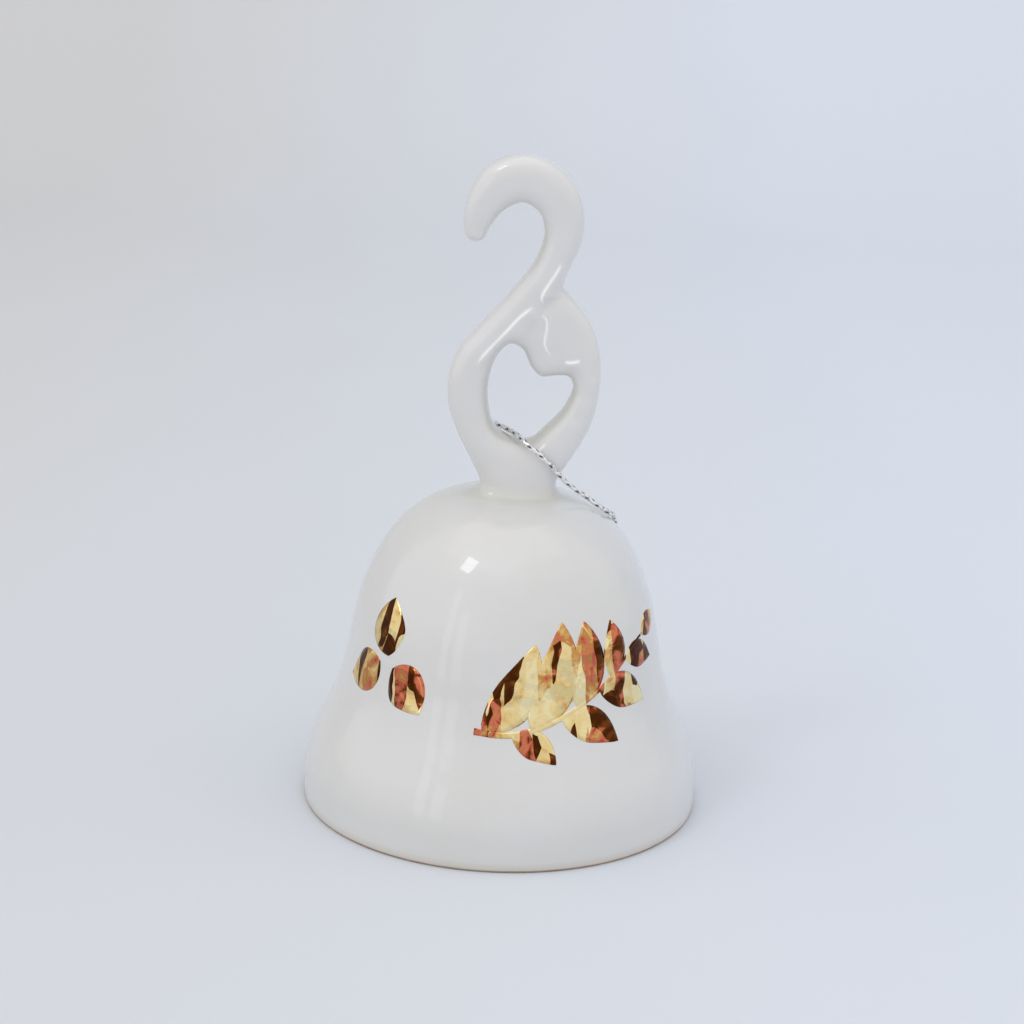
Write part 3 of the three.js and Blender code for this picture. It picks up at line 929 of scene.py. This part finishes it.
# Width of the painted highlight lines.
HIGHLIGHT_LINE_WIDTH = 0.24
HOOK_INSIDE = [
    (-7.4, 130.4), (-3.8, 135.6), (0.2, 137.5), (3.9, 135.4), (5.1, 131), (3.5, 125.2), (0.5, 121),
]


def pooling_and_shade_on_handle(flat, y):
    """Pooled glaze and painted shade, a darker tint, along the loop's hole, the inside of the hook and
    the foot of the handle.
    """
    hole = nearest_on(flat, spline(LOOP_HOLE, 6, closed=True), True)[0]
    hook, share, _ = nearest_on(flat, spline(HOOK_INSIDE, 6), False)
    foot = round_neck(flat[:, 0], y, 0.3) * np.clip((75.5 - flat[:, 1]) / 2.5, 0, 1)
    return np.maximum.reduce([
        HOLE_POOLING_AND_SHADE * np.exp(-(hole / POOL_AND_SHADE_WIDTH) ** 2),
        HOOK_POOLING_AND_SHADE * np.exp(-(hook / POOL_AND_SHADE_WIDTH) ** 2) * soft_ends(share),
        NECK_POOLING_AND_SHADE * foot,
    ])


# The edge of the hole's floor, where a white highlight line is painted as along the overlaps.
HOLE_FLOOR_EDGE = [(4.4, 82.6), (5.9, 83.3), (7.4, 85.0)]


def painted_highlights_on_handle(flat, y):
    """Painted highlight: white lines along the overlaps' raised edges and the hole floor's edge, on the
    front only.
    """
    total = np.zeros(len(flat))
    for line in [line for line, height in OVERLAPS] + [HOLE_FLOOR_EDGE]:
        far, share, _ = nearest_on(flat, spline(line, 8), False)
        total = np.maximum(total, np.exp(-(far / HIGHLIGHT_LINE_WIDTH) ** 2) * soft_ends(share, 0.2))
    return total * (y < 0)


HANDLE_STEP = 0.28
HANDLE_FROM = np.array((-18.0, -10.5, 69.0))      # the grid round the handle, in millimetres
HANDLE_TO = np.array((22.5, 10.5, 149.5))


def make_handle():
    """The handle's form as a skin, evened out a little and held to the frame's height."""
    form = HandleForm(HANDLE_FROM, HANDLE_TO)
    axes = [np.arange(low, high + HANDLE_STEP, HANDLE_STEP) for low, high in zip(HANDLE_FROM, HANDLE_TO)]
    points, faces = surface_net(form(*np.ix_(*axes)), HANDLE_FROM, HANDLE_STEP)
    points = settled(form, points, 3)
    for _ in range(3):
        points = settled(form, relaxed(points, faces), 1)
    flat, y = points[:, [0, 2]], points[:, 1]
    placed_points = points * MM
    placed_points[:, 2] = np.minimum(placed_points[:, 2], HANDLE_HIGH.z)
    piece = new_piece("handle_body", placed_points, faces, GLAZE, "bell")
    # Pooled glaze and painted shade on the handle.
    mark(piece, POOLING_AND_SHADE, pooling_and_shade_on_handle(flat, y))
    # Painted highlight lines on the handle's front.
    mark(piece, PAINTED_HIGHLIGHT, painted_highlights_on_handle(flat, y))
    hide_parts("handle")


make_handle()


# ---- The clapper and what it hangs from ----
LUG_LOW, LUG_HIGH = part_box("clapper_lug")
LINK_LOW, LINK_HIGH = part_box("clapper_link")
WIRE_LOW, WIRE_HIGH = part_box("clapper_wire")
BALL_LOW, BALL_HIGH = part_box("clapper_ball")
STOP_LOW, STOP_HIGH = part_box("clapper_stop")
WIRE_RADIUS = (LINK_HIGH.y - LINK_LOW.y) / 2
LUG_RADIUS = (LUG_HIGH.x - LUG_LOW.x) / 2
LUG_SUNK = 0.4 * MM          # how far the eye's legs go into the crown
LUG_FLARE = 2.2 * MM         # the length over which they widen into it
LUG_SPREAD = 0.75            # and by what share of their radius
LINK_SEAM = 0.15 * MM        # half the gap between the link's cut ends
BALL_GAP = 0.3 * MM          # between the wire and the ball's bore
BALL_LIP = 0.5 * MM
CRIMP_GAP = 0.05 * MM
CRIMP_EDGE = 0.4 * MM
CRIMP_PINCH = 0.35 * MM


def half_ring(centre, radius, first, last, axis, count=24):
    """An arc about a point, in the XZ plane or, with axis 1, in the YZ plane."""
    out = []
    for i in range(count + 1):
        a = first + (last - first) * i / count
        p = [0.0, 0.0, centre + radius * math.sin(a)]
        p[axis] = radius * math.cos(a)
        out.append(p)
    return out


def make_lug():
    """The porcelain eye, luted to the underside of the crown by its two legs."""
    bend = (LUG_HIGH.y - LUG_LOW.y) / 2 - LUG_RADIUS
    middle = LUG_LOW.z + LUG_RADIUS + bend
    top = CROWN_HEIGHT - WALL + LUG_SUNK
    path = [(0, -bend, top)] + half_ring(middle, bend, math.pi, 2 * math.pi, 1) + [(0, bend, top)]
    line = evenly(np.array(path, float), 90)
    above = np.clip((line[:, 2] - (top - LUG_FLARE)) / LUG_FLARE, 0, 1)
    points, faces = tube_mesh(line, LUG_RADIUS * (1 + LUG_SPREAD * above ** 2.5), 28)
    piece = new_piece("clapper_eye", points, faces, GLAZE, "bell")
    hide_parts("clapper_lug")


def make_link():
    """A ring of wire squeezed long, its two cut ends meeting at one side."""
    bend = (LINK_HIGH.x - LINK_LOW.x) / 2 - WIRE_RADIUS
    upper = LINK_HIGH.z - WIRE_RADIUS - bend
    lower = LINK_LOW.z + WIRE_RADIUS + bend
    seam = (upper + lower) / 2
    path = [(bend, 0, seam + LINK_SEAM)] + half_ring(upper, bend, 0, math.pi, 0)
    path += half_ring(lower, bend, math.pi, 2 * math.pi, 0) + [(bend, 0, seam - LINK_SEAM)]
    points, faces = tube_mesh(evenly(np.array(path, float), 110), WIRE_RADIUS, 20)
    piece = new_piece("clapper_hanging_link", points, faces, WIRE, "link")
    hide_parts("clapper_link")


def make_clapper_wire():
    """The wire: an open eye round the link, drawn in to a straight stem."""
    eye = (WIRE_HIGH.y - WIRE_LOW.y) / 2 - WIRE_RADIUS
    middle = WIRE_HIGH.z - WIRE_RADIUS - eye
    path = half_ring(middle, eye, -math.pi / 2 + 0.95, 1.5 * math.pi - 0.45, 1, 14)
    path += [(0, 0, middle - eye - 1.6 * MM), (0, 0, middle - eye - 3 * MM), (0, 0, WIRE_LOW.z)]
    points, faces = tube_mesh(evenly(spline(path, 10), 170), WIRE_RADIUS, 20)
    piece = new_piece("clapper_stem", points, faces, WIRE, "clapper")
    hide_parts("clapper_wire")


def make_ball():
    """A glazed ball, its bore's two mouths softened by the glaze."""
    radius = (BALL_HIGH.x - BALL_LOW.x) / 2
    middle = (BALL_HIGH.z + BALL_LOW.z) / 2
    bore = WIRE_RADIUS + BALL_GAP
    start = math.asin((bore + BALL_LIP) / radius)
    profile = [(radius * math.sin(a), middle - radius * math.cos(a))
               for a in np.linspace(start, math.pi - start, 49)]
    reach = radius * math.cos(start)
    quarter = np.linspace(0, math.pi / 2, 6)
    for sign, turn in ((1, quarter[1:]), (-1, quarter[-2::-1])):
        for a in turn:
            profile.append((bore + BALL_LIP * (1 - math.sin(a)),
                            middle + sign * (reach - BALL_LIP * (1 - math.cos(a)))))
    points, faces = lathe_mesh(profile, 72)
    piece = new_piece("clapper_ball_glazed", points, faces, GLAZE, "clapper")
    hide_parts("clapper_ball")


def make_stop():
    """A soft metal crimp: a short sleeve pinched on two sides, with rolled edges."""
    radius = (STOP_HIGH.x - STOP_LOW.x) / 2
    low, high = STOP_LOW.z, STOP_HIGH.z
    bore = WIRE_RADIUS + CRIMP_GAP
    side = radius - CRIMP_EDGE
    quarter = np.linspace(0, math.pi / 2, 6)
    profile = [(bore, high), (bore, low)]
    profile += [(side + CRIMP_EDGE * math.sin(a), low + CRIMP_EDGE * (1 - math.cos(a))) for a in quarter]
    profile += [(side + CRIMP_EDGE * math.cos(a), high - CRIMP_EDGE * (1 - math.sin(a))) for a in quarter]
    points, faces = lathe_mesh(profile, 40)
    shaped = []
    for x, y, z in points:
        outer = math.hypot(x, y) >= radius * 0.8
        share = 1 - abs(2 * (z - low) / (high - low) - 1)
        pinch = CRIMP_PINCH * share * max(0.0, math.cos(2 * math.atan2(y, x))) ** 2
        scale = 1 - pinch / radius if outer else 1.0
        shaped.append((x * scale, y * scale, z))
    piece = new_piece("clapper_crimp", shaped, faces, WIRE, "clapper")
    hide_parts("clapper_stop")


make_lug()
make_link()
make_clapper_wire()
make_ball()
make_stop()


# ---- Gold: leaves laid on the glaze ----
GOLD_UNDER = -0.06 * MM      # the skin's underside is sunk in the glaze
GOLD_EDGE = 0.02 * MM        # its edge stands this far out
GOLD_LIFT = 0.10 * MM        # and its middle this much more
# A branch that rises across the front to the right, as (degrees from the front, height in mm).
BRANCH = [(-9, 29.0), (3, 28.6), (16, 30.5), (30, 34.5), (44, 39.5), (56, 44.0), (63, 45.5)]
# Its leaves: (share of the branch, side, length in mm, half its width in mm, lean in degrees).
LEAVES = [
    (0.03, 1, 23.0, 4.9, 64), (0.25, 1, 25.0, 5.0, 56), (0.49, 1, 19.0, 4.3, 52),
    (0.72, 1, 12.5, 3.3, 50), (0.17, -1, 11.5, 3.2, 40), (0.41, -1, 15.0, 4.0, 50),
    (0.63, -1, 15.0, 4.0, 50), (0.83, -1, 11.0, 3.1, 44), (1.00, 0, 9.5, 2.4, 0),
]
STEM_START = 0.75 * MM       # half the stem's width
STEM_END = 0.30 * MM
# Three leaves that open from one point, as (start, end, half the width).
TREFOIL = [
    ((-46.5, 40.8), (-50.0, 53.0), 5.2),
    ((-50.5, 39.0), (-68.0, 33.0), 4.8),
    ((-43.5, 38.5), (-29.0, 30.5), 5.2),
]


def bell_slope(height):
    """How much of a step up the outer surface is a step in height."""
    return outer_at(height, outer_normal[:, 0])


def stepped(place, along, across, direction):
    """A point of the bell moved by two lengths: along a direction and to its left."""
    angle, height = place
    radius = outer_at(height, outer_line[:, 0])
    u = along * direction[0] - across * direction[1]
    v = along * direction[1] + across * direction[0]
    return angle + u / radius, height + v * bell_slope(height)


def unrolled(a, b):
    """The step from one point of the bell to another, as lengths on its surface."""
    radius = outer_at(a[1], outer_line[:, 0])
    return np.array(((b[0] - a[0]) * radius, (b[1] - a[1]) / bell_slope(a[1])))


def gilded(line, halves, across=9):
    """A closed gold skin that follows the bell, from a line of (angle, height) and its half widths."""
    rows, count = [], len(line)
    for i in range(count):
        step = unrolled(line[max(i - 1, 0)], line[min(i + 1, count - 1)])
        direction = step / np.linalg.norm(step)
        row = []
        for k in range(across):
            v = 2 * k / (across - 1) - 1
            angle, height = stepped(line[i], 0.0, v * halves[i], direction)
            row.append((angle, height, 1 - v ** 4))
        rows.append(row)
    points, faces = [], []
    for under in (False, True):
        for row in rows:
            for angle, height, fill in row:
                lift = GOLD_UNDER if under else GOLD_EDGE + GOLD_LIFT * fill
                points.append(on_bell(angle, height, lift))
    half = count * across
    for i in range(count - 1):
        for k in range(across - 1):
            a = i * across + k
            faces.append((a, a + across, a + across + 1, a + 1))
            faces.append((half + a, half + a + 1, half + a + across + 1, half + a + across))
    border = list(range(across))
    border += [i * across + across - 1 for i in range(1, count)]
    border += [(count - 1) * across + k for k in range(across - 2, -1, -1)]
    border += [i * across for i in range(count - 2, 0, -1)]
    for a, b in zip(border, border[1:] + border[:1]):
        faces.append((a, b, half + b, half + a))
    return points, faces


def leaf(start, end, half, bow=0.12):
    """A pointed leaf between two (angle, height) points, bent a little to one side."""
    run = unrolled(start, end)
    length = np.linalg.norm(run)
    direction = run / length
    shares = np.linspace(0, 1, 30)
    line = [stepped(start, s * length, bow * length * math.sin(math.pi * s), direction) for s in shares]
    halves = [max(half * math.sin(math.pi * s ** 0.85) ** 0.8, 0.06 * MM) for s in shares]
    return gilded(line, halves)


def make_gold():
    """The branch with its leaves, and the three leaves beside it."""
    degrees = math.pi / 180
    stem = evenly(spline([(a * degrees * RIM_RADIUS, z * MM) for a, z in BRANCH], 12), 70)
    stem = stem / (RIM_RADIUS, 1)
    halves = np.linspace(STEM_START, STEM_END, 70)
    parts = [gilded(stem, halves, 5)]
    for share, side, length, half, lean in LEAVES:
        i = int(share * 68)
        run = unrolled(stem[i], stem[i + 1])
        direction = run / np.linalg.norm(run)
        turn = side * lean * degrees
        turned = Matrix.Rotation(turn, 2) @ Vector(direction)
        start = stepped(stem[i], 0.5 * MM, 0.0, turned)
        end = stepped(stem[i], length * MM, 0.0, turned)
        parts.append(leaf(start, end, half * MM, -0.10 * side))
    points, faces = joined(parts)
    new_piece("gold_branch", points, faces, GOLD, "bell")
    units = np.array((degrees, MM))
    points, faces = joined([leaf(start * units, end * units, half * MM, 0.05)
                            for start, end, half in TREFOIL])
    new_piece("gold_trefoil", points, faces, GOLD, "bell")


make_gold()
